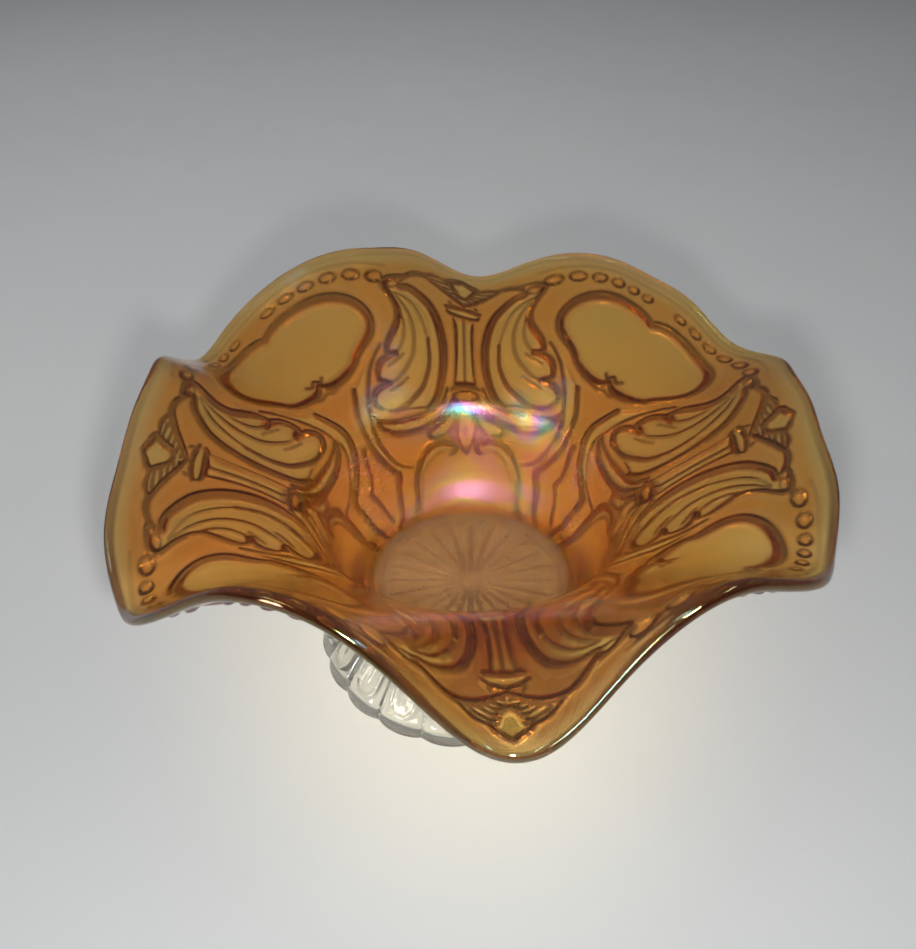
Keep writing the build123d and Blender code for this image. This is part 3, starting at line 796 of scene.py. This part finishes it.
def clear_glass():
    n = Nodes("clear_glass")
    co = n.object_coord()
    wav = n.noise(co, 90.0, 3.0, 0.5, 0.5)
    col = n.ramp(n.noise(co, 40.0, 2.0, 0.5), [(0.3, (0.66, 0.63, 0.53)), (0.7, (0.82, 0.79, 0.70))])
    # painted shade in the foot's notches, along the petal outlines and on its rim
    col = n.mix(n.math("MULTIPLY", n.attr("crease_shade"), 0.85), col, (0.30, 0.29, 0.25))
    return n.surface(Base_Color=col, Roughness=n.map(wav, 0.3, 0.7, 0.02, 0.09), IOR=1.5, Transmission_Weight=0.94,
                     Normal=n.bump(wav, 0.3, 0.0005))


def floor_paint():
    n = Nodes("studio_floor")
    co = n.object_coord()
    col = n.ramp(n.noise(co, 3.0, 4.0, 0.5), [(0.3, (0.375, 0.385, 0.393)), (0.7, (0.397, 0.407, 0.407))])
    return n.surface(Base_Color=col, Roughness=n.map(n.noise(co, 40.0, 3.0, 0.5), 0.3, 0.7, 0.55, 0.7),
                     Specular_IOR_Level=0.3, Normal=n.bump(n.noise(co, 350.0, 3.0, 0.5), 0.08, 0.0003))


# --- build -----------------------------------------------------------------------------------
bowl = build_bowl(marigold())
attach(bowl, "root")
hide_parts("bowl")

foot = build_foot(clear_glass())
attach(foot, "root")
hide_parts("foot")
foot.visible_shadow = False      # clear glass: lamps shine through it

# --- floor, light, camera ---------------------------------------------------------------------
me = bpy.data.meshes.new("studio_floor")
s = 3.0
me.from_pydata([(-s, -s, 0), (s, -s, 0), (s, s, 0), (-s, s, 0)], [], [(0, 1, 2, 3)])
me.materials.append(floor_paint())
floor = bpy.data.objects.new("studio_floor", me)
bpy.context.scene.collection.objects.link(floor)

world = bpy.data.worlds.new("studio")
bpy.context.scene.world = world
world.use_nodes = True
wn = world.node_tree
wn.nodes.clear()
tc = wn.nodes.new("ShaderNodeTexCoord")
sp = wn.nodes.new("ShaderNodeSeparateXYZ")
cr = wn.nodes.new("ShaderNodeValToRGB")
bg = wn.nodes.new("ShaderNodeBackground")
wo = wn.nodes.new("ShaderNodeOutputWorld")
wn.links.new(tc.outputs["Generated"], sp.inputs[0])
wn.links.new(sp.outputs["Z"], cr.inputs[0])
e = cr.color_ramp.elements
e[0].position, e[0].color = 0.0, (0.19, 0.205, 0.235, 1)
e[1].position, e[1].color = 0.8, (0.10, 0.108, 0.125, 1)
wn.links.new(cr.outputs["Color"], bg.inputs["Color"])
bg.inputs["Strength"].default_value = 0.40
wn.links.new(bg.outputs[0], wo.inputs[0])


def slow_falloff(data, strength):
    """falls off with distance, not with its square"""
    data.use_nodes = True
    nt = data.node_tree
    em = next(n for n in nt.nodes if n.type == "EMISSION")
    fo = nt.nodes.new("ShaderNodeLightFalloff")
    fo.inputs["Strength"].default_value = strength
    nt.links.new(fo.outputs["Linear"], em.inputs["Strength"])


key = bpy.data.lights.new("key", "POINT")
key.energy = 1.0
key.shadow_soft_size = 0.011
key.color = (1.0, 0.985, 0.965)
slow_falloff(key, 9.4)
ko = bpy.data.objects.new("key", key)
ko.location = ((3.0 + AXIS_X) * MM, (-233.0 + AXIS_Y) * MM, 215.0 * MM)
bpy.context.scene.collection.objects.link(ko)

soft = bpy.data.lights.new("soft_top", "AREA")
soft.shape = "RECTANGLE"
soft.size, soft.size_y = 1.2, 0.8
soft.energy = 15.2
soft.use_shadow = True
so = bpy.data.objects.new("soft_top", soft)
so.visible_glossy = False
so.visible_transmission = False
so.location = (-0.35, 0.25, 1.25)
so.rotation_euler = (Vector((0, 0, 0.06)) - Vector(so.location)).to_track_quat("-Z", "Y").to_euler()
bpy.context.scene.collection.objects.link(so)
# the soft light shines through the glass: only the floor can block it
blockers = bpy.data.collections.new("blocks_soft_light")
blockers.objects.link(floor)
so.light_linking.blocker_collection = blockers

# the part of the key light that comes out below the amber glass: a soft warm pool on the floor
warm = bpy.data.lights.new("through_glass", "SPOT")
warm.energy = 5.6
warm.color = (1.0, 0.84, 0.42)
warm.shadow_soft_size = 0.05
warm.spot_size = math.radians(36.0)
warm.spot_blend = 0.9
wm = bpy.data.objects.new("through_glass", warm)
wm.location = ko.location
wm.rotation_euler = (Vector((0.0, 0.034, 0.0)) - Vector(ko.location)).to_track_quat("-Z", "Y").to_euler()
wm.visible_glossy = False
wm.visible_transmission = False
bpy.context.scene.collection.objects.link(wm)
lit = bpy.data.collections.new("lit_by_pool")
lit.objects.link(floor)
wm.light_linking.receiver_collection = lit
wm.light_linking.blocker_collection = blockers

# two thin, dim strips, meant to show as long soft reflections in the glass
for k, (pos, aim, wide, watts) in enumerate([((-0.42, -0.30, 0.62), (-0.02, 0.03, 0.09), 0.40, 0.42),
                                             ((0.46, -0.18, 0.58), (0.03, 0.03, 0.09), 0.34, 0.36)]):
    strip = bpy.data.lights.new("strip_%d" % k, "AREA")
    strip.shape = "RECTANGLE"
    strip.size, strip.size_y = wide, 0.035
    strip.energy = watts
    st = bpy.data.objects.new("strip_%d" % k, strip)
    st.location = pos
    st.rotation_euler = (Vector(aim) - Vector(pos)).to_track_quat("-Z", "Y").to_euler()
    bpy.context.scene.collection.objects.link(st)

# a tall window beside the bowl, seen only as a soft reflection
win = bpy.data.lights.new("window", "AREA")
win.shape = "RECTANGLE"
win.size, win.size_y = 0.20, 0.30
win.energy = 3.4
wo = bpy.data.objects.new("window", win)
wo.location = (-0.62, -0.60, 0.30)
wo.rotation_euler = (Vector((0.0, 0.0, 0.07)) - Vector(wo.location)).to_track_quat("-Z", "Y").to_euler()
wo.visible_diffuse = False
bpy.context.scene.collection.objects.link(wo)

C = np.array([0.6, -244.21, 254.48]) * MM
T = np.array([-3.26, -4.2, 67.41]) * MM
fw = T - C
fw /= np.linalg.norm(fw)
right = np.cross(fw, [0, 0, 1.0])
right /= np.linalg.norm(right)
up = np.cross(right, fw)
roll = math.radians(-0.6163)
cr_, sr_ = math.cos(roll), math.sin(roll)
r2, u2 = cr_ * right + sr_ * up, -sr_ * right + cr_ * up
cam_data = bpy.data.cameras.new("camera")
cam_data.sensor_fit = "HORIZONTAL"
cam_data.sensor_width = 36.0
cam_data.lens = 38.90
cam_data.clip_start = 0.005
cam = bpy.data.objects.new("camera", cam_data)
cam.matrix_world = Matrix(((r2[0], u2[0], -fw[0], C[0]), (r2[1], u2[1], -fw[1], C[1]),
                           (r2[2], u2[2], -fw[2], C[2]), (0, 0, 0, 1)))
bpy.context.scene.collection.objects.link(cam)
bpy.context.scene.camera = cam

sc = bpy.context.scene
sc.view_settings.view_transform = "Standard"
sc.cycles.max_bounces = 14
sc.cycles.transmission_bounces = 12
sc.cycles.glossy_bounces = 6
sc.cycles.diffuse_bounces = 4
sc.cycles.sample_clamp_indirect = 40.0
